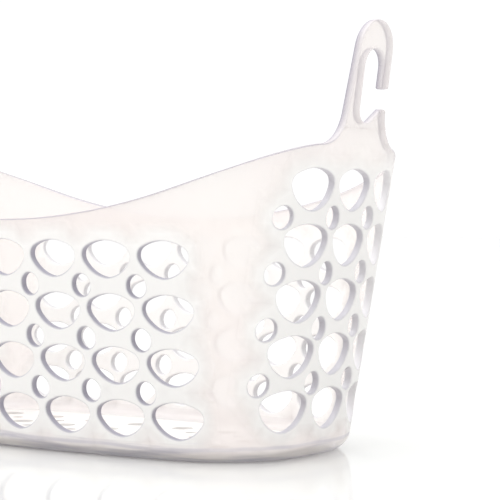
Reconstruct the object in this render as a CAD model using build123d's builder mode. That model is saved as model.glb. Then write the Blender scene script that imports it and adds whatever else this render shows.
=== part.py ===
from build123d import *
import math
import os

# Hanging shower caddy: a long perforated basket with a hook at each end.
# Millimetres. +Z is up, +X runs along the basket and +Y points to the side
# that the hooks open to. The origin is the middle of the base.

# Large holes, shaped like a guitar pick, and small oval holes between them
WALL = 3.6
HOLE_PITCH = 27.0         # along the wall
SIDE_ROW_PITCH = 22.0     # up the wall, on the long sides
END_ROW_PITCH = 22.7      # the same at the two ends
SIDE_COLUMNS = 7
SIDE_ROWS = 4
END_COLUMNS = 3
END_ROWS = 5
PICK_WIDTH = 23.2
SIDE_PICK_HEIGHT = 15.2
END_PICK_HEIGHT = 17.2
PICK_SHOULDER_RADIUS = 4.4
PICK_CROWN_RISE = 1.9     # bow of the top edge above the shoulders
PICK_TIP_RADIUS = 7.2
PICK_FLANK_RADIUS = 14.0
SMALL_HOLE_WIDTH = 9.2
SMALL_HOLE_HEIGHT = 9.4

# Basket wall: a long round-cornered shape that leans outward, sized round its fields of holes
BOTTOM_RADIUS = 9.0
SIDE_FOOT_BAND = 0.7      # from the bottom radius up to the lowest holes of the long sides
END_FOOT_BAND = 3.5       # the same at the two ends
SIDE_MARGIN = 23.0        # from the outermost hole of a long side to the end of the base
END_MARGIN = 18.8         # from the outermost large hole of an end to the side of the base
SIDE_FIRST_ROW = BOTTOM_RADIUS + SIDE_FOOT_BAND + SIDE_PICK_HEIGHT / 2
END_FIRST_ROW = BOTTOM_RADIUS + END_FOOT_BAND + END_PICK_HEIGHT / 2
BASE_HALF_LENGTH = (SIDE_COLUMNS - 1) / 2 * HOLE_PITCH + PICK_WIDTH / 2 + SIDE_MARGIN
BASE_HALF_WIDTH = (END_COLUMNS - 1) / 2 * HOLE_PITCH + PICK_WIDTH / 2 + END_MARGIN
END_LEAN = 0.143          # outward run per millimetre of height, at the two ends
SIDE_LEAN = 0.150         # the same along the two long sides
SIDE_BOW = 530.0          # radius of the long sides, seen from above
CORNER_RADIUS = 44.2      # of the upright corners at the base
CORNER_GROWTH = 0.095    # added to it per millimetre of height

# Rim: an arc seen from the long side, lowest in the middle
RIM_BAND = 8.4            # plain band above the top holes of the long sides
RIM_RADIUS = 300.0
RIM_LOW = SIDE_FIRST_ROW + (SIDE_ROWS - 1) * SIDE_ROW_PITCH + SIDE_PICK_HEIGHT / 2 + RIM_BAND

# Floor panel, lapped into a rebate in the foot flange
FLANGE_FLAT = 3.5         # flat of the flange between its inner radius and the rebate
LAP = 5.0                 # width of the step that carries the panel
LAP_DEPTH = WALL / 2
PANEL_CLEARANCE = 0.1     # round the panel, inside the rebate
FOOT_LIFT = 1.0           # the panel's underside stays clear of the surface below
FLANGE_REACH = BOTTOM_RADIUS + FLANGE_FLAT + LAP
DRAIN_PITCH_X = 26.0
DRAIN_PITCH_Y = 22.0
DRAIN_COLUMNS = 7
DRAIN_ROWS = 3
DRAIN_RADIUS = 5.0
SMALL_DRAIN_RADIUS = 2.6

# Hook: a flat plate that carries the end wall upward, open towards +Y
NECK_OFFSET = 2.5         # of the neck's middle, towards the side that the hook opens to
NECK_HALF_WIDTH = 14.3
NECK_FILLET = 15.5
NECK_RISE = 6.3           # from the rim up to the seam of the hook plate
SLOT_STRIP = 2.2          # from the seam up to the floor of the slot
SLOT_FLOOR_RADIUS = 6.1
HORN_RISE = 6.2           # from the floor of the slot up to the top of the horn
HORN_WIDTH = 3.2
MOUTH = 8.3               # gap between the horn and the hook's free end
TIP_DROP = 8.6            # from the middle of the slot's round top down to the free end
SLOT_RADIUS = 7.5
ARM_WIDTH = 5.2           # beside the slot, on the mouth's side
CROWN_RISE = 6.7          # from the middle of the slot's top to the middle of the crown
CROWN_RADIUS = 12.7
HOOK_CORNER = 1.0         # rounding of the free end and the horn, seen from the end


def half_length(z):
    return BASE_HALF_LENGTH + END_LEAN * z


def half_width(z):
    return BASE_HALF_WIDTH + SIDE_LEAN * z


def corner_radius(z):
    return CORNER_RADIUS + CORNER_GROWTH * z


def plan(z, inset):
    """Outline seen from above at height z, drawn in by inset.

    Gives the corner's centre, its radius, the middle and radius of the side's bow,
    and the angle where the corner runs into the bow.
    """
    radius, bow = corner_radius(z) - inset, SIDE_BOW - inset
    corner_x = half_length(z) - corner_radius(z)
    bow_y = half_width(z) - SIDE_BOW
    corner_y = bow_y + math.sqrt((bow - radius) ** 2 - corner_x ** 2)
    return corner_x, corner_y, radius, bow_y, bow, math.atan2(corner_y - bow_y, corner_x)


def corner_drift(z):
    """Sideways run of the corner's centre per millimetre of height."""
    return plan(z + 0.5, 0)[1] - plan(z - 0.5, 0)[1]


def polar(x, y, radius, angle):
    return x + radius * math.cos(angle), y + radius * math.sin(angle)


def arc_between(x, y, radius, first, last):
    """Arc about a centre from one angle to another, for use inside a BuildLine."""
    middle = (first + last) / 2
    return ThreePointArc(*[polar(x, y, radius, angle) for angle in (first, middle, last)])


def outline(z, inset):
    """Closed outline of the wall at height z, drawn in by inset, for use inside a BuildLine."""
    corner_x, corner_y, radius, bow_y, bow, turn = plan(z, inset)
    pi = math.pi
    right_back = arc_between(corner_x, corner_y, radius, 0, turn)
    arc_between(0, bow_y, bow, turn, pi - turn)
    left_back = arc_between(-corner_x, corner_y, radius, pi - turn, pi)
    left_front = arc_between(-corner_x, -corner_y, radius, pi, pi + turn)
    arc_between(0, -bow_y, bow, pi + turn, 2 * pi - turn)
    right_front = arc_between(corner_x, -corner_y, radius, 2 * pi - turn, 2 * pi)
    Line(left_back @ 1, left_front @ 0)
    Line(right_front @ 1, right_back @ 0)


def hole_plane(distance, z, from_end, x_side, y_side):
    """Plane square to the wall, at this distance along it from the wall's middle."""
    corner_x, corner_y, radius, bow_y, bow, turn = plan(z, 0)
    bow_end = bow * (math.pi / 2 - turn)
    if not from_end and distance <= bow_end:
        angle = math.pi / 2 - distance / bow
        x, y = polar(0, bow_y, bow, angle)
        lean = SIDE_LEAN * math.sin(angle)
    elif from_end and distance <= corner_y:
        angle = 0
        x, y = half_length(z), distance
        lean = END_LEAN
    else:
        angle = (distance - corner_y) / radius if from_end else turn - (distance - bow_end) / radius
        x, y = polar(corner_x, corner_y, radius, angle)
        c, s = math.cos(angle), math.sin(angle)
        lean = (END_LEAN - CORNER_GROWTH) * c + corner_drift(z) * s + CORNER_GROWTH
    c, s = math.cos(angle), math.sin(angle)
    normal = Vector(c * x_side, s * y_side, -lean).normalized()
    along = Vector(0, 0, 1).cross(normal)
    return Plane(origin=(x * x_side, y * y_side, z), x_dir=along, z_dir=normal)


def row_planes(columns, rows, from_end):
    """Planes of one staggered field on both opposite walls: columns by rows."""
    planes = []
    first_row = END_FIRST_ROW if from_end else SIDE_FIRST_ROW
    row_pitch = END_ROW_PITCH if from_end else SIDE_ROW_PITCH
    for row in rows:
        z = first_row + row_pitch * row
        for column in columns:
            distance = abs(column) * HOLE_PITCH
            far = 1 if column >= 0 else -1
            for side in (1, -1):
                x_side, y_side = (side, far) if from_end else (far, side)
                planes.append(hole_plane(distance, z, from_end, x_side, y_side))
    return planes


def centred(count):
    return [i - (count - 1) / 2 for i in range(count)]


def outer_arc(start_centre, start_radius, end_centre, end_radius, radius):
    """Arc of this radius that wraps two circles; the circles lie counter-clockwise."""
    p, q = Vector(*start_centre), Vector(*end_centre)
    to_p, to_q, gap = radius - start_radius, radius - end_radius, (q - p).length
    along = (to_p ** 2 - to_q ** 2 + gap ** 2) / (2 * gap)
    across = math.sqrt(to_p ** 2 - along ** 2)
    unit = (q - p).normalized()
    centre = p + unit * along + Vector(-unit.Y, unit.X) * across
    first = centre + (p - centre).normalized() * radius
    last = centre + (q - centre).normalized() * radius
    middle = centre + (first + last - centre * 2).normalized() * radius
    return first, middle, last


def pick_outline(height):
    """Guitar-pick hole: two round shoulders, a round tip, and bowed flanks and crown."""
    shoulder = PICK_WIDTH / 2 - PICK_SHOULDER_RADIUS
    level = height / 2 - PICK_CROWN_RISE - PICK_SHOULDER_RADIUS
    crown = (shoulder ** 2 + PICK_CROWN_RISE ** 2) / (2 * PICK_CROWN_RISE) + PICK_SHOULDER_RADIUS
    circles = [
        ((-shoulder, level), PICK_SHOULDER_RADIUS),
        ((0, PICK_TIP_RADIUS - height / 2), PICK_TIP_RADIUS),
        ((shoulder, level), PICK_SHOULDER_RADIUS),
    ]
    wraps = [PICK_FLANK_RADIUS, PICK_FLANK_RADIUS, crown]
    arcs = [outer_arc(*circles[i], *circles[(i + 1) % 3], wraps[i]) for i in range(3)]
    for i, arc in enumerate(arcs):
        ThreePointArc(*arc)
        centre, radius = circles[(i + 1) % 3]
        end, begin = arc[2], arcs[(i + 1) % 3][0]
        bend = Vector(*centre) + (end + begin - Vector(*centre) * 2).normalized() * radius
        ThreePointArc(end, bend, begin)


def neck_side(y_side):
    """Concave fillet from the rim up to the side of the hook's stem: start, middle, end."""
    centre = (y_side * (NECK_HALF_WIDTH + NECK_FILLET), neck_foot() + NECK_FILLET)
    turn = NECK_FILLET * math.sqrt(0.5)
    return (
        (centre[0], centre[1] - NECK_FILLET),
        (centre[0] - y_side * turn, centre[1] - turn),
        (centre[0] - y_side * NECK_FILLET, centre[1]),
    )


def rim_height(x):
    return RIM_LOW + RIM_RADIUS - math.sqrt(RIM_RADIUS ** 2 - x ** 2)


def end_rim():
    """Height where the rim arc meets the outside of the end wall."""
    z = RIM_LOW
    for _ in range(30):
        z = rim_height(half_length(z))
    return z


def neck_foot():
    """Height where the neck's fillets run out on the rim, in the rounding of the corner."""
    z = RIM_LOW
    for _ in range(30):
        corner_x, corner_y, radius, bow_y, bow, turn = plan(z, 0)
        across = max(NECK_HALF_WIDTH + NECK_FILLET - corner_y, 0)
        z = rim_height(corner_x + math.sqrt(max(radius ** 2 - across ** 2, 0)))
    return z


HOOK_SEAM = end_rim() + NECK_RISE
REACH = 2 * half_length(HOOK_SEAM)
NECK_PLANE = Plane(origin=(0, NECK_OFFSET, 0), x_dir=(0, 1, 0), z_dir=(1, 0, 0))

# Everything above the rim arc, apart from the necks that the hooks grow from
with BuildPart() as above_rim:
    with BuildSketch(Plane.XZ) as rim_side_view:
        with BuildLine():
            rim_arc = ThreePointArc(
                (-REACH / 2, rim_height(REACH / 2)), (0, RIM_LOW), (REACH / 2, rim_height(REACH / 2))
            )
            Polyline(rim_arc @ 1, (REACH / 2, 2 * HOOK_SEAM), (-REACH / 2, 2 * HOOK_SEAM), rim_arc @ 0)
        make_face()
    extrude(amount=REACH, both=True)
    with BuildSketch(NECK_PLANE) as neck_end_view:
        with BuildLine():
            left = neck_side(-1)
            right = neck_side(1)
            ThreePointArc(*left)
            Line(left[2], right[2])
            ThreePointArc(*right)
            Polyline(right[0], (right[0][0], 0), (left[0][0], 0), left[0])
        make_face()
    extrude(amount=REACH, both=True, mode=Mode.SUBTRACT)

# The room inside the wall
with BuildPart() as cavity:
    with BuildSketch(Plane.XY.offset(WALL)):
        with BuildLine():
            outline(WALL, WALL)
        make_face()
    with BuildSketch(Plane.XY.offset(HOOK_SEAM)):
        with BuildLine():
            outline(HOOK_SEAM, WALL)
        make_face()
    loft(ruled=True)
    fillet(cavity.edges().group_by(Axis.Z)[0], BOTTOM_RADIUS - WALL)

# Side wall: leaning shell with a round foot, an inward foot flange and the holes
with BuildPart() as side_wall:
    with BuildSketch():
        with BuildLine():
            outline(0, 0)
        make_face()
    with BuildSketch(Plane.XY.offset(HOOK_SEAM)):
        with BuildLine():
            outline(HOOK_SEAM, 0)
        make_face()
    loft(ruled=True)
    fillet(side_wall.edges().group_by(Axis.Z)[0], BOTTOM_RADIUS)
    add(cavity.part, mode=Mode.SUBTRACT)
    add(above_rim.part, mode=Mode.SUBTRACT)
    with BuildSketch():
        with BuildLine():
            outline(0, FLANGE_REACH)
        make_face()
    extrude(amount=WALL, mode=Mode.SUBTRACT)
    with BuildSketch(Plane.XY.offset(WALL - LAP_DEPTH)):
        with BuildLine():
            outline(0, FLANGE_REACH - LAP)
        make_face()
    extrude(amount=LAP_DEPTH, mode=Mode.SUBTRACT)
    with BuildSketch(*row_planes(centred(SIDE_COLUMNS), range(SIDE_ROWS), False)):
        with BuildLine():
            pick_outline(SIDE_PICK_HEIGHT)
        make_face()
    extrude(amount=2 * WALL, both=True, mode=Mode.SUBTRACT)
    with BuildSketch(*row_planes(centred(END_COLUMNS), range(END_ROWS), True)):
        with BuildLine():
            pick_outline(END_PICK_HEIGHT)
        make_face()
    extrude(amount=2 * WALL, both=True, mode=Mode.SUBTRACT)
    between_side = [row + 0.5 for row in range(SIDE_ROWS - 1)]
    between_end = [row + 0.5 for row in range(END_ROWS - 1)]
    small_planes = row_planes(centred(SIDE_COLUMNS - 1), between_side, False)
    small_planes += row_planes(centred(END_COLUMNS + 1), between_end, True)
    with BuildSketch(*small_planes):
        Ellipse(SMALL_HOLE_WIDTH / 2, SMALL_HOLE_HEIGHT / 2)
    extrude(amount=2 * WALL, both=True, mode=Mode.SUBTRACT)

# Floor panel: a plate on the rebate with a plug that fills the opening below it
with BuildPart() as drain_floor:
    with BuildSketch(Plane.XY.offset(WALL - LAP_DEPTH)):
        with BuildLine():
            outline(0, FLANGE_REACH - LAP + PANEL_CLEARANCE)
        make_face()
    extrude(amount=LAP_DEPTH)
    with BuildSketch(Plane.XY.offset(FOOT_LIFT)):
        with BuildLine():
            outline(0, FLANGE_REACH + PANEL_CLEARANCE)
        make_face()
    extrude(amount=WALL - LAP_DEPTH - FOOT_LIFT)
    with BuildSketch():
        with GridLocations(DRAIN_PITCH_X, DRAIN_PITCH_Y, DRAIN_COLUMNS, DRAIN_ROWS):
            Circle(DRAIN_RADIUS)
        with GridLocations(DRAIN_PITCH_X, DRAIN_PITCH_Y, DRAIN_COLUMNS - 1, DRAIN_ROWS - 1):
            Circle(SMALL_DRAIN_RADIUS)
    extrude(amount=WALL, mode=Mode.SUBTRACT)

# Heights and middles of the hook, from the seam up
SLOT_FLOOR = HOOK_SEAM + SLOT_STRIP
HORN_TOP = SLOT_FLOOR + HORN_RISE
TIP = HORN_TOP + MOUTH
SLOT_TOP_CENTRE = TIP + TIP_DROP
CROWN_CENTRE = SLOT_TOP_CENTRE + CROWN_RISE
HOOK_TOP = CROWN_CENTRE + CROWN_RADIUS
SLOT_MIDDLE = NECK_HALF_WIDTH - ARM_WIDTH - SLOT_RADIUS
CROWN_MIDDLE = NECK_HALF_WIDTH - CROWN_RADIUS
NECK_MIDDLE = NECK_HALF_WIDTH + NECK_FILLET
FILLET_CENTRE = neck_foot() + NECK_FILLET


def hook_outline():
    """Outline of the hook plate seen from the end, from the neck's middle."""
    # stem's outer edge: the line that leaves the neck fillet and runs into the crown
    run, climb = CROWN_MIDDLE + NECK_MIDDLE, CROWN_CENTRE - FILLET_CENTRE
    lean = math.atan2(climb, run) + math.asin((NECK_FILLET + CROWN_RADIUS) / math.hypot(run, climb))
    lean -= math.pi / 2
    seam_turn = math.asin((HOOK_SEAM - FILLET_CENTRE) / NECK_FILLET)
    horn_turn = math.asin(min(HORN_TOP - FILLET_CENTRE, 0) / NECK_FILLET)
    left = arc_between(-NECK_MIDDLE, FILLET_CENTRE, NECK_FILLET, seam_turn, lean)
    crown = arc_between(CROWN_MIDDLE, CROWN_CENTRE, CROWN_RADIUS, math.pi + lean, 0)
    Line(left @ 1, crown @ 0)
    # free end, then the inside of the slot from the mouth round to its floor
    tip_in = (SLOT_MIDDLE + SLOT_RADIUS, TIP)
    slot_top = arc_between(SLOT_MIDDLE, SLOT_TOP_CENTRE, SLOT_RADIUS, 0, math.pi)
    Polyline(crown @ 1, (NECK_HALF_WIDTH, TIP), tip_in, slot_top @ 0)
    floor_y, floor_z = SLOT_MIDDLE - SLOT_RADIUS + SLOT_FLOOR_RADIUS, SLOT_FLOOR + SLOT_FLOOR_RADIUS
    right = arc_between(NECK_MIDDLE, FILLET_CENTRE, NECK_FILLET, math.pi - horn_turn, math.pi - seam_turn)
    horn_in = (NECK_HALF_WIDTH - HORN_WIDTH, HORN_TOP)
    toward = math.atan2(horn_in[1] - floor_z, horn_in[0] - floor_y)
    apart = math.hypot(horn_in[0] - floor_y, horn_in[1] - floor_z)
    leave = toward - math.acos(SLOT_FLOOR_RADIUS / apart)
    slot_floor = arc_between(floor_y, floor_z, SLOT_FLOOR_RADIUS, -math.pi, leave)
    Line(slot_top @ 1, slot_floor @ 0)
    Polyline(slot_floor @ 1, horn_in, right @ 0)
    Line(right @ 1, left @ 0)


# Hook plate: a leaning slab as thick as the wall, trimmed to the outline
with BuildPart() as right_hook:
    with BuildSketch(Plane.XZ):
        Polygon(
            (half_length(HOOK_SEAM) - WALL, HOOK_SEAM),
            (half_length(HOOK_SEAM), HOOK_SEAM),
            (half_length(HOOK_TOP), HOOK_TOP),
            (half_length(HOOK_TOP) - WALL, HOOK_TOP),
            align=None,
        )
    extrude(amount=2 * NECK_HALF_WIDTH, both=True)
    with BuildSketch(NECK_PLANE) as hook_end_view:
        with BuildLine():
            hook_outline()
        make_face()
        near = [v for v in hook_end_view.vertices() if v.Y > NECK_OFFSET + SLOT_MIDDLE]
        ends = [v for v in near if HORN_TOP - 0.1 < v.Z < TIP + 0.1]
        fillet(ends, HOOK_CORNER)
    extrude(amount=REACH, mode=Mode.INTERSECT)

# The other hook is the mirror image, open to the same side
with BuildPart() as left_hook:
    add(mirror(right_hook.part, about=Plane.YZ, mode=Mode.PRIVATE))

os.makedirs("parts", exist_ok=True)
side_wall.part.label = "side_wall"
export_step(side_wall.part, "parts/side_wall.step")
drain_floor.part.label = "drain_floor"
export_step(drain_floor.part, "parts/drain_floor.step")
right_hook.part.label = "right_hook"
export_step(right_hook.part, "parts/right_hook.step")
left_hook.part.label = "left_hook"
export_step(left_hook.part, "parts/left_hook.step")
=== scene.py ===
import math

import bmesh
import bpy
import numpy as np
from mathutils import Matrix, Vector
from mathutils.geometry import delaunay_2d_cdt


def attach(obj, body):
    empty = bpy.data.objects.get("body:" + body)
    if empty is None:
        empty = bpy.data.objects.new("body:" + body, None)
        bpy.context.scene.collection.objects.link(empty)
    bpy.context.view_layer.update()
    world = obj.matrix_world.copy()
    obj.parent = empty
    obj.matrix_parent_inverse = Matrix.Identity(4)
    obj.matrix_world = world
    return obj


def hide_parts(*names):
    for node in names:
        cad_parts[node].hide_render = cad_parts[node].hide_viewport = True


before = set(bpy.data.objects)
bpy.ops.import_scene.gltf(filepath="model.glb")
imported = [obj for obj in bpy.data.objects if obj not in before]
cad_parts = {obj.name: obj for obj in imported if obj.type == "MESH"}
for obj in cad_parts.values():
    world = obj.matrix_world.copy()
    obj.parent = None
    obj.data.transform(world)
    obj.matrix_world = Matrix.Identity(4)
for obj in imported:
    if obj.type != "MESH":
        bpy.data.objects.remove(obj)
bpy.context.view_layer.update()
scene = bpy.context.scene
scene.view_settings.view_transform = "Standard"
mm = 0.001

# Sizes of the leaning basket wall in millimetres, the same as in the frame.
wall = {
    "thick": 3.6, "pitch": 27.0, "sideRowPitch": 22.0, "endRowPitch": 22.7,
    "sideColumns": 7, "sideRows": 4, "sideFirst": 17.3, "sideHeight": 15.2,
    "endColumns": 3, "endRows": 5, "endFirst": 21.1, "endHeight": 17.2,
    "pickWidth": 23.2, "shoulder": 4.4, "crownRise": 1.9, "tip": 7.2, "flank": 14.0,
    "smallWidth": 9.2, "smallHeight": 9.4,
    "halfLength": 115.6, "halfWidth": 57.4, "endLean": 0.143, "sideLean": 0.150,
    "bow": 530.0, "corner": 44.2, "cornerGrowth": 0.095,
    "rimLow": 99.3, "rimRadius": 300.0,
    "neckOffset": 2.5, "neckHalf": 14.3, "neckFillet": 15.5, "neckRise": 6.3,
    "footRadius": 9.0, "flangeReach": 17.5, "lap": 5.0,
    "edge": 0.6, "edgeLand": 0.15, "panelSeam": 99.0, "footLine": 8.25,
}
# How finely the wall and the hooks are divided, with the lengths in millimetres
detail = {
    "pickSteps": (8, 7, 8, 6, 10, 6), "smallSteps": 26, "pickRoom": 2.6, "smallRoom": 2.4,
    "rimSteps": 73, "neckRimSteps": 16, "filletSteps": 14, "capSteps": 9, "seamSteps": 26,
    "footStep": 4.0, "footTurns": 9, "gridStep": 4.6, "gridReach": 200, "gridTop": 140,
    "sideGap": 0.6, "rimGap": 0.55, "weld": 2e-5, "sharpFrom": 42,
}
# Strength of the painted shade on the hole edges of each panel and of the hook, what an end's last
# column loses of it, and where the sheet turns clear: from this far off a hole, over this stretch,
# and in the foot, over this many rows of points
paintedShadeAndClear = {"front": 0.88, "back": 0.35, "right": 0.6, "left": 0.35, "hook": 1.0, "farShadeFade": 0.45,
        "clearFrom": 1.5, "clearOver": 6, "footClear": 0.8, "footRows": 4}


def plan(z, inset=0.0):
    # corner centre (cx, cy), corner radius r, bow centre (0, by) with radius b, and the angle
    # where they meet: |corner centre - bow centre| = b - r
    z = np.asarray(z, float)
    radius = wall["corner"] + wall["cornerGrowth"] * z - inset
    bow = wall["bow"] - inset
    cornerX = wall["halfLength"] + wall["endLean"] * z - radius - inset
    bowY = wall["halfWidth"] + wall["sideLean"] * z - wall["bow"]
    cornerY = bowY + np.sqrt((bow - radius) ** 2 - cornerX ** 2)
    return cornerX, cornerY, radius, bowY, bow, np.arctan2(cornerY - bowY, cornerX)


def sidePoint(d, z, inset):
    # d runs along the front wall from its middle; past the bow it turns into the corner
    cornerX, cornerY, radius, bowY, bow, turn = plan(z, inset)
    far = np.abs(d)
    bowEnd = wall["bow"] * (np.pi / 2 - turn)
    onBow = far <= bowEnd
    angle = np.where(onBow, np.pi / 2 - far / wall["bow"], turn - (far - bowEnd) / (radius + inset))
    x = np.where(onBow, bow * np.cos(angle), cornerX + radius * np.cos(angle))
    y = np.where(onBow, bowY + bow * np.sin(angle), cornerY + radius * np.sin(angle))
    return np.stack([np.sign(d) * x, -y, np.broadcast_to(z, x.shape)], -1)


def endPoint(d, z, inset):
    # d runs along the right end wall from its middle, towards +Y
    cornerX, cornerY, radius = plan(z, inset)[:3]
    far = np.abs(d)
    angle = np.maximum(far - cornerY, 0) / (radius + inset)
    x = cornerX + radius * np.cos(angle)
    y = np.where(far < cornerY, far, cornerY + radius * np.sin(angle))
    return np.stack([x, np.sign(d) * y, np.broadcast_to(z, x.shape)], -1)


def cornerLean(angle, z):
    # outward run per height on the corner at this angle, from the drift of its centre
    drift = float(plan(z + 0.5)[1] - plan(z - 0.5)[1])
    growth = wall["cornerGrowth"]
    return (wall["endLean"] - growth) * np.cos(angle) + drift * np.sin(angle) + growth


def seamOnSide(z):
    # distance from the front's middle of the upright line where the two panels meet
    return wall["panelSeam"] + 0 * np.asarray(z, float)


def seamOnEnd(z):
    # the same line, as a distance from the end's middle
    _, cornerY, radius, _, bow, turn = plan(z)
    return bow * (np.pi / 2 - turn) + radius * turn + cornerY - wall["panelSeam"]


def rimHeight(x):
    # arc seen from the long side: low + R - sqrt(R^2 - x^2)
    return wall["rimLow"] + wall["rimRadius"] - np.sqrt(wall["rimRadius"] ** 2 - x ** 2)


def onRim(point, d):
    # height of the rim at d, found by steps because the wall leans
    z = np.full(np.shape(d), wall["rimLow"])
    for _ in range(25):
        z = rimHeight(point(d, z, 0.0)[..., 0])
    return z


def wrapArc(p, rp, q, rq, radius):
    # centre k of the arc that wraps two circles: |k - p| = R - rp, |k - q| = R - rq
    gap = np.hypot(*(q - p))
    along = ((radius - rp) ** 2 - (radius - rq) ** 2 + gap ** 2) / (2 * gap)
    unit = (q - p) / gap
    return p + unit * along + np.array([-unit[1], unit[0]]) * math.sqrt((radius - rp) ** 2 - along ** 2)


def pickLoop(height, grow):
    # guitar-pick outline, grown outward by the offset: six tangent arcs, counter-clockwise
    shoulderX = wall["pickWidth"] / 2 - wall["shoulder"]
    level = height / 2 - wall["crownRise"] - wall["shoulder"]
    crown = (shoulderX ** 2 + wall["crownRise"] ** 2) / (2 * wall["crownRise"]) + wall["shoulder"]
    circles = [(np.array([-shoulderX, level]), wall["shoulder"]),
               (np.array([0.0, wall["tip"] - height / 2]), wall["tip"]),
               (np.array([shoulderX, level]), wall["shoulder"])]
    wraps = [wall["flank"], wall["flank"], crown]
    centres, radii, starts = [], [], []
    for i in range(3):
        (p, rp), (q, rq) = circles[i], circles[(i + 1) % 3]
        k = wrapArc(p, rp, q, rq, wraps[i])
        centres += [k, q]
        radii += [wraps[i], rq]
        first, last = p - k, q - k
        starts += [math.atan2(first[1], first[0]), math.atan2(last[1], last[0])]
    points = []
    for i, steps in enumerate(detail["pickSteps"]):
        sweep = (starts[(i + 1) % 6] - starts[i]) % (2 * math.pi)
        angle = starts[i] + sweep * np.arange(steps) / steps
        points.append(centres[i] + (radii[i] + grow) * np.stack([np.cos(angle), np.sin(angle)], -1))
    return np.concatenate(points)


def smallLoop(grow):
    # small oval, grown outward by the offset: (a cos t, b sin t)
    angle = 2 * np.pi * np.arange(detail["smallSteps"]) / detail["smallSteps"]
    size = np.array([wall["smallWidth"], wall["smallHeight"]]) / 2 + grow
    return size * np.stack([np.cos(angle), np.sin(angle)], -1)


# Round edge: offset e = r (1 - sin a) from the edge and depth t = r (1 - cos a), then the far side
bend = np.radians([0, 30, 60, 90])
edgeOut = np.concatenate([[wall["edge"] + wall["edgeLand"]], wall["edge"] * (1 - np.sin(bend))])
edgeIn = np.concatenate([[0], wall["edge"] * (1 - np.cos(bend))])
edgeOut = np.concatenate([edgeOut, edgeOut[::-1]])
edgeIn = np.concatenate([edgeIn, wall["thick"] - edgeIn[::-1]])
# Painted shade across the round edge, from the outside in: side and lower edge of a hole, rim, hook
holeEdgeShade = np.array([0, 0.04, 0.18, 0.5, 0.85, 1, 0.7, 0.3, 0.1, 0])
lowEdgeShade = np.array([0, 0.25, 0.6, 0.9, 1, 1, 0.7, 0.3, 0.1, 0])
rimEdgeShade = np.array([0, 0.3, 0.65, 0.7, 0.4, 0.7, 0.85, 0.4, 0.1, 0])
hookEdgeShade = np.array([0, 0.1, 0.22, 0.3, 0.35, 0.8, 0.95, 0.5, 0.1, 0])


class Sheet:
    # collects vertices (millimetres), faces and marks of one panel: how much painted shade a point
    # takes as a cut edge and as the outside of the foot, how clear the sheet is there, and 1 on a hole's
    # edge
    def __init__(self):
        self.verts, self.marks, self.tris, self.quads, self.caps, self.count = [], [], [], [], [], 0

    def add(self, points, edge=0.0, foot=0.0, clear=0.0, hole=0.0):
        points = np.asarray(points, float).reshape(-1, 3)
        self.verts.append(points)
        marks = [np.asarray(mark, float).reshape(-1) for mark in (edge, foot, clear, hole)]
        self.marks.append(np.stack([np.broadcast_to(mark, (len(points),)) for mark in marks], -1))
        self.count += len(points)
        return np.arange(self.count - len(points), self.count)

    def grid(self, points, closed, flip, **marks):
        # rows and columns of points joined by quads, with the last column joined to the first if closed
        rows, cols = points.shape[:2]
        index = self.add(points, **marks).reshape(rows, cols)
        nextCol = np.roll(index, -1, 1) if closed else index[:, 1:]
        here = index if closed else index[:, :-1]
        quad = np.stack([here[:-1], here[1:], nextCol[1:], nextCol[:-1]], -1).reshape(-1, 4)
        self.quads.append(quad[:, ::-1] if flip else quad)

    def skin(self, point, flat, faces, clear):
        # the same triangles outside and, turned over, inside
        for inset, turned in ((0.0, faces), (wall["thick"], faces[:, ::-1])):
            index = self.add(point(flat[:, 0], flat[:, 1], inset), clear=clear)
            self.tris.append(index[turned])


def fieldCentres(columns, rows, first, pitch):
    # middles (d, z) of a field of holes, row by row from the lowest
    across = [(column - (columns - 1) / 2) * wall["pitch"] for column in range(columns)]
    return [(d, first + pitch * row) for row in range(rows) for d in across]


def edgeRun(run, startWay, endWay):
    # one run of a free edge, drawn in along its own normal, and along the given ways at its ends
    way = np.gradient(run, axis=0)
    normal = np.stack([way[:, 1], -way[:, 0]], -1)
    normal /= np.linalg.norm(normal, axis=1)[:, None]
    for i, fixed in ((0, startWay), (-1, endWay)):
        side = run[1] - run[0] if i == 0 else run[-1] - run[-2]
        side = np.array([side[1], -side[0]]) / np.hypot(*side)
        normal[i] = np.array(fixed) / np.dot(fixed, side)
    return run[None] + edgeOut[:, None, None] * normal[None]


def blendEdgeShade(first, second, share):
    # painted shade across the edge for each point of a run: first + (second - first) share
    return (first[:, None] + (second - first)[:, None] * np.clip(share, 0, 1)[None]).ravel()


def sweepEdge(sheet, point, ring, marks):
    depth = np.broadcast_to(edgeIn[:, None], ring.shape[:2])
    sheet.grid(point(ring[..., 0], ring[..., 1], depth), False, False, edge=marks, clear=1.0)


def between(a, b, steps):
    # points on the straight line from a to b, without its ends: a + (b - a) t
    return a + (b - a) * np.linspace(0, 1, steps)[1:-1, None]


def seamCap(sheet, point, a, b):
    # flat face where neck and hook meet: round the two edge profiles a and b, and straight across
    # between them outside and inside; gives the outside line and the face
    across = between(a[0], b[0], detail["capSteps"])
    loop = [point(a[:, 0], a[:, 1], edgeIn)[::-1], point(across[:, 0], across[:, 1], 0.0),
            point(b[:, 0], b[:, 1], edgeIn), point(across[::-1, 0], across[::-1, 1], wall["thick"])]
    plain = np.zeros(len(across))
    # painted shade on the two edge profiles, none straight across
    edge = np.concatenate([hookEdgeShade[::-1], plain, hookEdgeShade, plain])
    return across, sheet.add(np.concatenate(loop), edge=edge, clear=1.0)


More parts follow.
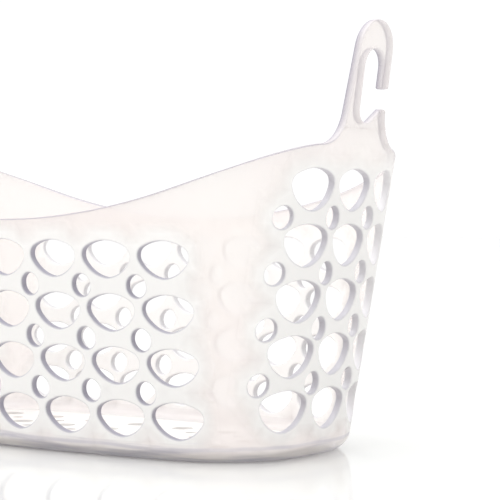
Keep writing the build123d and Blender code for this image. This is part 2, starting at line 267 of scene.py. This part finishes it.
def fillLoops(loops, free):
    # triangles over (d, z) inside the first loop and outside the others, through the free points
    coords, edges, owner = [], [], []
    for i, loop in enumerate(loops):
        start = sum(map(len, coords))
        coords.append(loop)
        ring = np.arange(start, start + len(loop))
        edges += list(zip(ring.tolist(), np.roll(ring, -1).tolist()))
        owner += [i] * len(loop)
    coords.append(free)
    owner = np.array(owner + [-1] * len(free))
    points = [Vector(p) for p in np.concatenate(coords)]
    flat, _, faces, origin, _, _ = delaunay_2d_cdt(points, edges, [], 1, 1e-5)
    flat = np.array([tuple(p) for p in flat])
    faces = np.array([tuple(f) for f in faces])
    who = owner[np.array([o[0] for o in origin])][faces]
    inHole = (who[:, 0] > 0) & (who[:, 0] == who[:, 1]) & (who[:, 1] == who[:, 2])
    return flat, faces[~inHole]


def buildPanel(point, bigCentres, smallCentres, height, seam, top, cap, farShadeFade):
    # one panel: seam(z) is its half width, top the (d, z) of its upper edge from -seam to +seam,
    # split in one or two runs; cap says that the gap between two runs is the neck's flat top,
    # and the last argument how much of the painted edge shade the last column of holes loses
    sheet = Sheet()
    pick = np.stack([pickLoop(height, grow) for grow in (*edgeOut, detail["pickRoom"])])
    small = np.stack([smallLoop(grow) for grow in (*edgeOut, detail["smallRoom"])])
    loops, avoid = [], []
    for centres, shapes in ((bigCentres, pick), (smallCentres, small)):
        for centre in centres:
            ring = shapes[:-1] + np.array(centre)
            depth = np.broadcast_to(edgeIn[:, None], ring.shape[:2])
            level = ring[len(edgeOut) // 2, :, 1]
            # painted shade on the hole's edge: heavier on its lower side, and less on an end's last column
            below = (centre[1] - level) / (level.max() - centre[1])
            fade = 1 - farShadeFade * np.clip(centre[0] / wall["pitch"], 0, 1)
            edge = blendEdgeShade(holeEdgeShade, lowEdgeShade, below) * fade
            sheet.grid(point(ring[..., 0], ring[..., 1], depth), True, True, edge=edge, hole=1.0)
            loops.append(ring[0])
            avoid.append(shapes[-1] + np.array(centre))

    holes = np.concatenate(loops)

    def clearAt(flat):
        # clear sheet away from the holes: a smooth step over the distance to the nearest one
        near = [np.sqrt(((part[:, None] - holes[None]) ** 2).sum(-1).min(1))
                for part in np.array_split(flat, 20)]
        step = np.clip((np.concatenate(near) - paintedShadeAndClear["clearFrom"]) / paintedShadeAndClear["clearOver"], 0, 1)
        return step * step * (3 - 2 * step)

    # upper edge, in runs that end on the seams of the panel or on the neck's flat top
    inner = []
    for run, (startWay, endWay) in top:
        ring = edgeRun(run, startWay, endWay)
        if startWay == (0, -1):
            ring[:, 0, 0] = np.sign(run[0, 0]) * seam(ring[:, 0, 1])
        if endWay == (0, -1):
            ring[:, -1, 0] = np.sign(run[-1, 0]) * seam(ring[:, -1, 1])
        upNeck = (run[:, 1] - neckFoot) / (hookSeam - neckFoot)
        # painted shade on the rim's edge, turning into the hook's as the neck climbs
        sweepEdge(sheet, point, ring, blendEdgeShade(rimEdgeShade, hookEdgeShade, upNeck))
        inner.append(ring)
    upper = inner[0][0]
    if cap:
        across, face = seamCap(sheet, point, inner[0][:, -1], inner[1][:, 0])
        sheet.caps.append(face[::-1])
        upper = np.concatenate([inner[0][0], across, inner[1][0]])

    # foot: the profile runs round the foot radius, under the flange, over the rebate and up inside
    foot = wall["footLine"]
    lowCount = int(round(2 * float(seam(foot)) / detail["footStep"]))
    low = np.linspace(-1, 1, lowCount + 1) * float(seam(foot))
    lowLine = np.stack([low, foot + 0 * low], -1)
    corner = plan(foot)
    if cap:
        lean = cornerLean(np.maximum(np.abs(low) - corner[1], 0) / corner[2], foot)
        lean = np.where(np.abs(low) <= corner[1], wall["endLean"], lean)
    else:
        past = np.abs(low) - wall["bow"] * (np.pi / 2 - corner[5])
        lean = cornerLean(corner[5] - np.maximum(past, 0) / corner[2], foot)
        lean = np.where(past <= 0, wall["sideLean"] * np.cos(np.abs(low) / wall["bow"]), lean)
    tilt = np.arctan(lean)

    def roundFoot(radius, floor, skin):
        # arc of the foot from the wall down to the floor, about its centre at floor + radius
        turnTo = np.linspace(0, 1, detail["footTurns"])[:, None]
        angle = -tilt - (np.pi / 2 - tilt) * turnTo
        centre = skin + radius / np.cos(tilt) - lean * (floor + radius)
        return centre - radius * np.cos(angle), floor + radius + radius * np.sin(angle)

    thick, reach = wall["thick"], wall["flangeReach"]
    ledge = reach - wall["lap"]
    outsideIn, outsideZ = roundFoot(wall["footRadius"], 0.0, 0.0)
    insideIn, insideZ = roundFoot(wall["footRadius"] - thick, thick, thick)
    flange = np.array([[reach, 0], [reach, thick / 2], [ledge, thick / 2], [ledge, thick]])
    flange = flange[:, :, None] * np.ones_like(low)
    insets = np.concatenate([outsideIn, flange[:, 0], insideIn[::-1]])
    heights = np.concatenate([outsideZ, flange[:, 1], insideZ[::-1]])
    onBase = low * (float(seam(0.0)) / float(seam(foot)))
    base = point(np.broadcast_to(onBase, insets.shape), np.zeros(insets.shape), insets)
    base[..., 2] = heights
    ends = [point(low, lowLine[:, 1], inset)[None] for inset in (0.0, thick)]
    base = np.concatenate([ends[0], base, ends[1]])
    rows = np.arange(len(base))
    outside = np.repeat(rows <= detail["footTurns"], len(low))
    away = np.minimum(rows / paintedShadeAndClear["footRows"], rows[::-1] / paintedShadeAndClear["footRows"]).clip(0, 1)[:, None]
    footClear = (1 - away) * clearAt(lowLine) + away * paintedShadeAndClear["footClear"]
    sheet.grid(base, False, True, foot=outside, clear=footClear)

    # skin between the edges: triangles over (d, z) that keep to the loops, through a grid of free points
    upSteps = np.linspace(foot, upper[-1, 1], detail["seamSteps"])[1:-1]
    right = np.stack([seam(upSteps), upSteps], -1)
    left = np.stack([-seam(upSteps[::-1]), upSteps[::-1]], -1)
    outer = np.concatenate([lowLine, right, upper[::-1], left])
    step, reach = detail["gridStep"], detail["gridReach"]
    gridUp = np.arange(foot + step * detail["sideGap"], detail["gridTop"], step)
    gridD, gridZ = np.meshgrid(np.arange(-reach, reach, step), gridUp)
    free = np.stack([gridD.ravel(), gridZ.ravel()], -1)
    ceiling = np.interp(free[:, 0], upper[:, 0], upper[:, 1]) - step * detail["rimGap"]
    free = free[(np.abs(free[:, 0]) < seam(free[:, 1]) - step * detail["sideGap"]) & (free[:, 1] < ceiling)]
    for loop in avoid:
        side = np.roll(loop, -1, 0) - loop
        rel = free[:, None] - loop[None]
        free = free[~np.all(side[None, :, 0] * rel[..., 1] - side[None, :, 1] * rel[..., 0] > 0, axis=1)]
    flat, faces = fillLoops([outer] + loops, free)
    sheet.skin(point, flat, faces, clearAt(flat))
    return sheet


def panelMesh(name, sheets):
    # sheets: (sheet, mirror in x, mirror in y, strength of the painted shade on the holes' edges);
    # a mirrored copy turns its faces over
    verts, marks, faces, count = [], [], [], 0
    for sheet, flipX, flipY, shadeStrength in sheets:
        points = np.concatenate(sheet.verts) * np.array([flipX, flipY, 1]) * mm
        over = flipX * flipY < 0
        for group in sheet.tris + sheet.quads + [np.array([cap]) for cap in sheet.caps]:
            group = group[:, ::-1] if over else group
            faces += (group + count).tolist()
        verts.append(points)
        mark = np.concatenate(sheet.marks)
        # painted shade on the hole edges, scaled by this copy's strength
        mark[:, 0] *= 1 + (shadeStrength - 1) * mark[:, 3]
        marks.append(mark[:, :3])
        count += len(points)
    mesh = bpy.data.meshes.new(name)
    mesh.from_pydata(np.concatenate(verts).tolist(), [], faces)
    attribute = mesh.attributes.new("marks", "FLOAT_VECTOR", "POINT")
    attribute.data.foreach_set("vector", np.concatenate(marks).ravel())
    work = bmesh.new()
    work.from_mesh(mesh)
    bmesh.ops.remove_doubles(work, verts=work.verts, dist=detail["weld"])
    bmesh.ops.recalc_face_normals(work, faces=work.faces)
    openEdges = sum(1 for e in work.edges if len(e.link_faces) != 2)
    work.to_mesh(mesh)
    work.free()
    mesh.shade_smooth()
    mesh.set_sharp_from_angle(angle=math.radians(detail["sharpFrom"]))
    piece = bpy.data.objects.new(name, mesh)
    scene.collection.objects.link(piece)
    print(name, "faces", len(mesh.polygons), "open edges", openEdges)
    return piece


# Heights of the neck: where its fillets leave the rim and where the hook plate starts
endRim = float(onRim(endPoint, np.array([0.0]))[0])
hookSeam = endRim + wall["neckRise"]
footY = wall["neckHalf"] + wall["neckFillet"]
neckFoot = wall["rimLow"]
for _ in range(30):
    cx, cy, cr = plan(neckFoot)[:3]
    neckFoot = float(rimHeight(cx + math.sqrt(cr ** 2 - max(footY - cy, 0) ** 2)))
filletMid = neckFoot + wall["neckFillet"]
seamZ = float(onRim(sidePoint, np.array([wall["panelSeam"]]))[0])
seamEnd = float(seamOnEnd(seamZ))

# Front panel and right end panel; the back and the left end are their mirror images
columns, rows, first, pitch = (wall[key] for key in ("sideColumns", "sideRows", "sideFirst", "sideRowPitch"))
frontBig = fieldCentres(columns, rows, first, pitch)
frontSmall = fieldCentres(columns - 1, rows - 1, first + pitch / 2, pitch)
runD = np.linspace(-wall["panelSeam"], wall["panelSeam"], detail["rimSteps"])
frontTop = [(np.stack([runD, onRim(sidePoint, runD)], -1), ((0, -1), (0, -1)))]
frontSheet = buildPanel(
    sidePoint, frontBig, frontSmall, wall["sideHeight"], seamOnSide, frontTop, False, 0.0)


def neckRun(side):
    # rim from the panel's seam to the neck, then the concave fillet up to the hook's seam;
    # the fillet's foot is eased onto the rim
    turnEnd = math.asin((hookSeam - filletMid) / wall["neckFillet"])
    turnUp = np.linspace(-np.pi / 2, turnEnd, detail["filletSteps"])
    y = footY - wall["neckFillet"] * np.cos(turnUp) + side * wall["neckOffset"]
    z = filletMid + wall["neckFillet"] * np.sin(turnUp)
    cx, cy, cr = plan(z)[:3]
    d = np.where(y < cy, y, cy + cr * np.arcsin(np.clip((y - cy) / cr, -1, 1)))
    rim = np.linspace(seamEnd, d[0], detail["neckRimSteps"])
    rimZ = onRim(endPoint, rim)
    rimZ[0] = seamZ
    z = z + (rimZ[-1] - z[0]) * np.linspace(1, 0, len(z)) ** 2
    run = np.concatenate([np.stack([rim, rimZ], -1)[:-1], np.stack([d, z], -1)])
    return run if side > 0 else run * np.array([-1, 1])


columns, rows, first, pitch = (wall[key] for key in ("endColumns", "endRows", "endFirst", "endRowPitch"))
endBig = fieldCentres(columns, rows, first, pitch)
endSmall = fieldCentres(columns + 1, rows - 1, first + pitch / 2, pitch)
endTop = [(neckRun(-1), ((0, -1), (1, 0))), (neckRun(1)[::-1], ((-1, 0), (0, -1)))]
endSheet = buildPanel(
    endPoint, endBig, endSmall, wall["endHeight"], seamOnEnd, endTop, True, paintedShadeAndClear["farShadeFade"])
# each copy takes the painted hole-edge shade at its own strength: lit and shaded copies of one panel
basketWall = panelMesh("basketWall", [
    (frontSheet, 1, 1, paintedShadeAndClear["front"]), (frontSheet, 1, -1, paintedShadeAndClear["back"]),
    (endSheet, 1, 1, paintedShadeAndClear["right"]), (endSheet, -1, 1, paintedShadeAndClear["left"])])
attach(basketWall, "root")
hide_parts("side_wall")

# Hook plate: its outline seen from the end, from the neck's middle, with the neck's own fillets
hook = {"strip": 2.2, "floor": 6.1, "hornRise": 6.2, "hornWidth": 3.2, "mouth": 8.3, "tipDrop": 8.6,
        "slot": 7.5, "arm": 5.2, "crownRise": 6.7, "crown": 12.7, "corner": 1.0,
        "bendSteps": 8, "stemSteps": 8, "crownSteps": 28, "slotSteps": 20, "backSteps": 6,
        "floorSteps": 14, "cornerSteps": 6}


def arcPoints(y, z, radius, first, last, count):
    angle = np.linspace(first, last, count)
    return np.stack([y + radius * np.cos(angle), z + radius * np.sin(angle)], -1)


def roundCorner(before, corner, after):
    # arc of radius r tangent to both legs: it starts r / tan(half the angle) from the corner
    radius, corner = hook["corner"], np.array(corner)
    u, v = np.array(before) - corner, np.array(after) - corner
    u, v = u / np.hypot(*u), v / np.hypot(*v)
    half = math.acos(np.dot(u, v)) / 2
    middle = corner + (u + v) / np.hypot(*(u + v)) * radius / math.sin(half)
    spread = np.linspace(-1, 1, hook["cornerSteps"]) * (math.pi / 2 - half)
    back = (corner - middle) / np.hypot(*(corner - middle))
    across = np.array([-back[1], back[0]])
    across = across if np.dot(across, v) > 0 else -across
    return middle + radius * (np.cos(spread)[:, None] * back + np.sin(spread)[:, None] * across)


def hookRun():
    # outline (y, z) from the seam up the stem, over the crown, round the free end, down the slot,
    # over the horn and back to the seam
    half, fillet, pi = wall["neckHalf"], wall["neckFillet"], math.pi
    slotFloor = hookSeam + hook["strip"]
    hornTop = slotFloor + hook["hornRise"]
    tip = hornTop + hook["mouth"]
    slotZ, slotY = tip + hook["tipDrop"], half - hook["arm"] - hook["slot"]
    crownZ, crownY = slotZ + hook["crownRise"], half - hook["crown"]
    run, climb = crownY + footY, crownZ - filletMid
    lean = math.atan2(climb, run) + math.asin((fillet + hook["crown"]) / math.hypot(run, climb)) - pi / 2
    seamTurn = math.asin((hookSeam - filletMid) / fillet)
    hornTurn = math.asin(min(hornTop - filletMid, 0) / fillet)
    left = arcPoints(-footY, filletMid, fillet, seamTurn, lean, hook["bendSteps"])
    crown = arcPoints(crownY, crownZ, hook["crown"], pi + lean, 0, hook["crownSteps"])
    stem = between(left[-1], crown[0], hook["stemSteps"])
    outTip, inTip = (half, tip), (slotY + hook["slot"], tip)
    slotTop = arcPoints(slotY, slotZ, hook["slot"], 0, pi, hook["slotSteps"])
    floorY, floorZ = slotY - hook["slot"] + hook["floor"], slotFloor + hook["floor"]
    hornIn = (half - hook["hornWidth"], hornTop)
    toward = math.atan2(hornIn[1] - floorZ, hornIn[0] - floorY)
    leave = toward - math.acos(hook["floor"] / math.hypot(hornIn[0] - floorY, hornIn[1] - floorZ))
    slotLow = arcPoints(floorY, floorZ, hook["floor"], -pi, leave, hook["floorSteps"])
    inner = between(slotTop[-1], slotLow[0], hook["backSteps"])
    right = arcPoints(footY, filletMid, fillet, pi - hornTurn, pi - seamTurn, hook["bendSteps"])
    tips = [roundCorner(crown[-1], outTip, inTip), roundCorner(outTip, inTip, slotTop[0])]
    horn = [roundCorner(slotLow[-1], hornIn, right[0]), roundCorner(hornIn, right[0], right[3])]
    return np.concatenate([left, stem, crown, *tips, slotTop, inner, slotLow, *horn, right[2:]])


def hookPoint(d, z, inset):
    # the plate carries on the lean of the end wall
    x = wall["halfLength"] + wall["endLean"] * z - inset
    return np.stack([x, d + wall["neckOffset"], np.broadcast_to(z, x.shape)], -1)


hookSheet = Sheet()
hookEdge = edgeRun(hookRun(), (1, 0), (-1, 0))
# painted shade on the hook plate's cut edges
sweepEdge(hookSheet, hookPoint, hookEdge, np.repeat(hookEdgeShade, hookEdge.shape[1]))
hookFoot, hookCap = seamCap(hookSheet, hookPoint, hookEdge[:, 0], hookEdge[:, -1])
hookSheet.caps.append(hookCap)
outline = np.concatenate([hookFoot[::-1], hookEdge[0]])[::-1]
hookSheet.skin(hookPoint, *fillLoops([outline], np.zeros((0, 2))), 1.0)
rightHook = panelMesh("rightHook", [(hookSheet, 1, 1, paintedShadeAndClear["hook"])])
leftHook = panelMesh("leftHook", [(hookSheet, -1, 1, paintedShadeAndClear["hook"])])
for piece, node in ((rightHook, "right_hook"), (leftHook, "left_hook")):
    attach(piece, "root")
    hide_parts(node)

# Frosted translucent plastic: a warm pale skin that lets the far side through faintly, painted shade in
# violet grey where the sheet is seen edge on and in grey streaks on the foot. Heights are in metres,
# noise scales per metre; shares are the parts of light that go straight through and that glow through.
plastic = {
    "skin": (0.96, 0.915, 0.89, 1), "blush": (0.955, 0.89, 0.87, 1), "field": (0.95, 0.935, 0.92, 1),
    # edge and foot are painted shade: violet grey on the cut edges, grey in the foot's band
    "edge": (0.29, 0.275, 0.36, 1), "foot": (0.60, 0.58, 0.65, 1),
    "cloud": (16, 16, 34), "blushRange": (3.0, -1.0), "roughRange": (0.2, 0.26), "index": 1.45,
    "grain": (800, 800, 800), "grainDepth": 0.0002, "grainStrength": 0.15,
    # painted shade at the foot: heights of its band, its streaks, the line at the ground and the wandering
    # line
    "footShadeBand": (0.0095, 0.006), "streak": (24, 24, 330), "streakRange": (5.0, -2.3),
    "groundShadeBand": (0.0014, 0.0006), "groundShadeLine": 0.9,
    "wander": (20, 20, 20), "wanderReach": 0.006,
    "lineTop": (0.0106, 0.0094), "lineFoot": (0.0078, 0.0089), "lineShare": 0.75,
    "wallShares": (0.5, 0.12), "floorShares": (0.08, 0.08),
}


def frostedPlastic(name, marked, clearShare, glowShare):
    material = bpy.data.materials.new(name)
    material.use_nodes = True
    nodes, links = material.node_tree.nodes, material.node_tree.links
    shader, output = nodes["Principled BSDF"], nodes["Material Output"]

    def mixColour(factor, first, second):
        mix = nodes.new("ShaderNodeMix")
        mix.data_type = "RGBA"
        links.new(factor, mix.inputs["Factor"])
        for value, socket in ((first, mix.inputs["A"]), (second, mix.inputs["B"])):
            if isinstance(value, tuple):
                socket.default_value = value
            else:
                links.new(value, socket)
        return mix.outputs["Result"]

    def sums(kind, *values):
        node = nodes.new("ShaderNodeMath")
        node.operation = kind
        for value, socket in zip(values, node.inputs):
            if isinstance(value, (int, float)):
                socket.default_value = value
            else:
                links.new(value, socket)
        return node.outputs[0]

    place = nodes.new("ShaderNodeTexCoord").outputs["Object"]

    def noise(scale, octaves):
        stretch = nodes.new("ShaderNodeMapping")
        stretch.inputs["Scale"].default_value = scale
        links.new(place, stretch.inputs["Vector"])
        texture = nodes.new("ShaderNodeTexNoise")
        texture.inputs["Scale"].default_value = 1.0
        texture.inputs["Detail"].default_value = octaves
        links.new(stretch.outputs["Vector"], texture.inputs["Vector"])
        return texture.outputs["Fac"]

    def heightStep(height, ends, top):
        # 0 at the first height and beyond, up to top at the second one and beyond
        step = nodes.new("ShaderNodeMapRange")
        step.interpolation_type = "SMOOTHSTEP"
        links.new(height, step.inputs["Value"])
        step.inputs["From Min"].default_value, step.inputs["From Max"].default_value = ends
        step.inputs["To Max"].default_value = top
        return step.outputs["Result"]

    cloud = noise(plastic["cloud"], 2.0)
    blush = sums("MULTIPLY_ADD", cloud, *plastic["blushRange"])
    if marked:
        attribute = nodes.new("ShaderNodeAttribute")
        attribute.attribute_name = "marks"
        mark = nodes.new("ShaderNodeSeparateXYZ")
        links.new(attribute.outputs["Vector"], mark.inputs[0])
        axes = nodes.new("ShaderNodeSeparateXYZ")
        links.new(place, axes.inputs[0])
        height = axes.outputs["Z"]
        # foot: painted shade, in streaks below a soft band, in a line at the ground and in one that wanders
        # above it
        streaks = sums("MULTIPLY_ADD", noise(plastic["streak"], 3.0), *plastic["streakRange"])
        streaks = sums("MAXIMUM", streaks, 0.0)
        footShade = sums("MULTIPLY", heightStep(height, plastic["footShadeBand"], 1.0), streaks)
        groundShade = heightStep(height, plastic["groundShadeBand"], plastic["groundShadeLine"])
        wander = sums("MULTIPLY_ADD", noise(plastic["wander"], 2.0), plastic["wanderReach"], height)
        line = heightStep(wander, plastic["lineTop"], plastic["lineShare"])
        line = sums("MULTIPLY", line, heightStep(wander, plastic["lineFoot"], 1.0))
        footShade = sums("MAXIMUM", sums("MAXIMUM", sums("MINIMUM", footShade, 1.0), groundShade), line)
        footShade = sums("MULTIPLY", footShade, mark.outputs["Y"])
        skin = mixColour(blush, plastic["skin"], plastic["blush"])
        colour = mixColour(mark.outputs["Z"], plastic["field"], skin)
        # painted shade: grey over the foot, then violet grey over the cut edges
        colour = mixColour(footShade, colour, plastic["foot"])
        colour = mixColour(mark.outputs["X"], colour, plastic["edge"])
        solid = sums("SUBTRACT", 1.0, mark.outputs["X"])
        clear = sums("MULTIPLY", sums("MULTIPLY", solid, mark.outputs["Z"]), clearShare)
    else:
        colour = mixColour(blush, plastic["field"], plastic["skin"])
    links.new(colour, shader.inputs["Base Color"])
    links.new(sums("MULTIPLY_ADD", cloud, *plastic["roughRange"]), shader.inputs["Roughness"])
    shader.inputs["IOR"].default_value = plastic["index"]
    bump = nodes.new("ShaderNodeBump")
    bump.inputs["Strength"].default_value = plastic["grainStrength"]
    bump.inputs["Distance"].default_value = plastic["grainDepth"]
    links.new(noise(plastic["grain"], 2.0), bump.inputs["Height"])
    links.new(bump.outputs["Normal"], shader.inputs["Normal"])
    through = nodes.new("ShaderNodeBsdfTranslucent")
    links.new(colour, through.inputs["Color"])
    glow = nodes.new("ShaderNodeMixShader")
    glow.inputs["Fac"].default_value = glowShare
    links.new(shader.outputs["BSDF"], glow.inputs[1])
    links.new(through.outputs["BSDF"], glow.inputs[2])
    straight = nodes.new("ShaderNodeBsdfTransparent")
    blend = nodes.new("ShaderNodeMixShader")
    if marked:
        links.new(clear, blend.inputs["Fac"])
    else:
        blend.inputs["Fac"].default_value = clearShare
    links.new(glow.outputs["Shader"], blend.inputs[1])
    links.new(straight.outputs["BSDF"], blend.inputs[2])
    links.new(blend.outputs["Shader"], output.inputs["Surface"])
    return material


wallPlastic = frostedPlastic("frostedWall", True, *plastic["wallShares"])
for piece in (basketWall, rightHook, leftHook):
    piece.data.materials.append(wallPlastic)
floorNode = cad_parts["drain_floor"]
floorNode.data.materials.clear()
floorNode.data.materials.append(frostedPlastic("frostedFloor", False, *plastic["floorShares"]))
print("plastic done")

# White glossy table, a white room that is a little dimmer to the right, and one soft box (metres, watts)
studio = {"reach": 6, "table": (0.775, 0.78, 0.765, 1), "gloss": 0.08,
          "bright": 1.15, "dim": 1.07, "dimFrom": 0.2, "backdrop": 1.05,
          "boxAt": (-0.25, -0.2, 1.3), "boxAim": (0, 0, 0.08), "boxSize": 1.2, "boxPower": 10.5}
reach = studio["reach"]
tableMesh = bpy.data.meshes.new("table")
corners = [(-reach, -reach, 0), (reach, -reach, 0), (reach, reach, 0), (-reach, reach, 0)]
tableMesh.from_pydata(corners, [], [(0, 1, 2, 3)])
table = bpy.data.objects.new("table", tableMesh)
scene.collection.objects.link(table)
tableLook = bpy.data.materials.new("tableLook")
tableLook.use_nodes = True
tableShader = tableLook.node_tree.nodes["Principled BSDF"]
tableShader.inputs["Base Color"].default_value = studio["table"]
tableShader.inputs["Roughness"].default_value = studio["gloss"]
tableMesh.materials.append(tableLook)

world = bpy.data.worlds.new("studio")
scene.world = world
world.use_nodes = True
nodes, links = world.node_tree.nodes, world.node_tree.links
room = nodes["Background"]
room.inputs["Color"].default_value = (1, 1, 1, 1)
way = nodes.new("ShaderNodeTexCoord")
axes = nodes.new("ShaderNodeSeparateXYZ")
links.new(way.outputs["Generated"], axes.inputs[0])
fall = nodes.new("ShaderNodeMapRange")
links.new(axes.outputs["X"], fall.inputs["Value"])
fall.inputs["From Min"].default_value = studio["dimFrom"]
fall.inputs["From Max"].default_value = 1
fall.inputs["To Min"].default_value = studio["bright"]
fall.inputs["To Max"].default_value = studio["dim"]
links.new(fall.outputs["Result"], room.inputs["Strength"])
white = nodes.new("ShaderNodeBackground")
white.inputs["Color"].default_value = (1, 1, 1, 1)
white.inputs["Strength"].default_value = studio["backdrop"]
path = nodes.new("ShaderNodeLightPath")
seen = path.outputs["Is Camera Ray"]
for also in ("Is Glossy Ray", "Is Transmission Ray"):
    either = nodes.new("ShaderNodeMath")
    either.operation = "MAXIMUM"
    links.new(seen, either.inputs[0])
    links.new(path.outputs[also], either.inputs[1])
    seen = either.outputs[0]
pick = nodes.new("ShaderNodeMixShader")
links.new(seen, pick.inputs["Fac"])
links.new(room.outputs["Background"], pick.inputs[1])
links.new(white.outputs["Background"], pick.inputs[2])
links.new(pick.outputs["Shader"], nodes["World Output"].inputs["Surface"])

light = bpy.data.lights.new("keyBox", "AREA")
light.shape, light.size, light.energy = "SQUARE", studio["boxSize"], studio["boxPower"]
lamp = bpy.data.objects.new("keyBox", light)
lamp.location = studio["boxAt"]
shine = Vector(studio["boxAim"]) - Vector(studio["boxAt"])
lamp.rotation_euler = shine.to_track_quat("-Z", "Y").to_euler()
scene.collection.objects.link(lamp)
print("studio done")

# Camera: position (metres), yaw, pitch and roll (radians) from the photo's hole centres
cameraFit = {"at": (0.53534, -0.64614, 0.10291), "yaw": 0.6151, "pitch": 0.02103, "roll": 0.00393,
             "lens": 132.482, "sensor": 36}
yaw, pitch, roll = cameraFit["yaw"], cameraFit["pitch"], cameraFit["roll"]
ahead = Vector((-math.sin(yaw) * math.cos(pitch), math.cos(yaw) * math.cos(pitch), -math.sin(pitch)))
right = Vector((math.cos(yaw), math.sin(yaw), 0))
up = right.cross(ahead)
right, up = right * math.cos(roll) + up * math.sin(roll), up * math.cos(roll) - right * math.sin(roll)
lens = bpy.data.cameras.new("photoCamera")
lens.lens, lens.sensor_width, lens.sensor_fit = cameraFit["lens"], cameraFit["sensor"], "HORIZONTAL"
camera = bpy.data.objects.new("photoCamera", lens)
camera.matrix_world = Matrix((
    (right.x, up.x, -ahead.x, cameraFit["at"][0]), (right.y, up.y, -ahead.y, cameraFit["at"][1]),
    (right.z, up.z, -ahead.z, cameraFit["at"][2]), (0, 0, 0, 1)))
scene.collection.objects.link(camera)
scene.camera = camera
print("camera done")
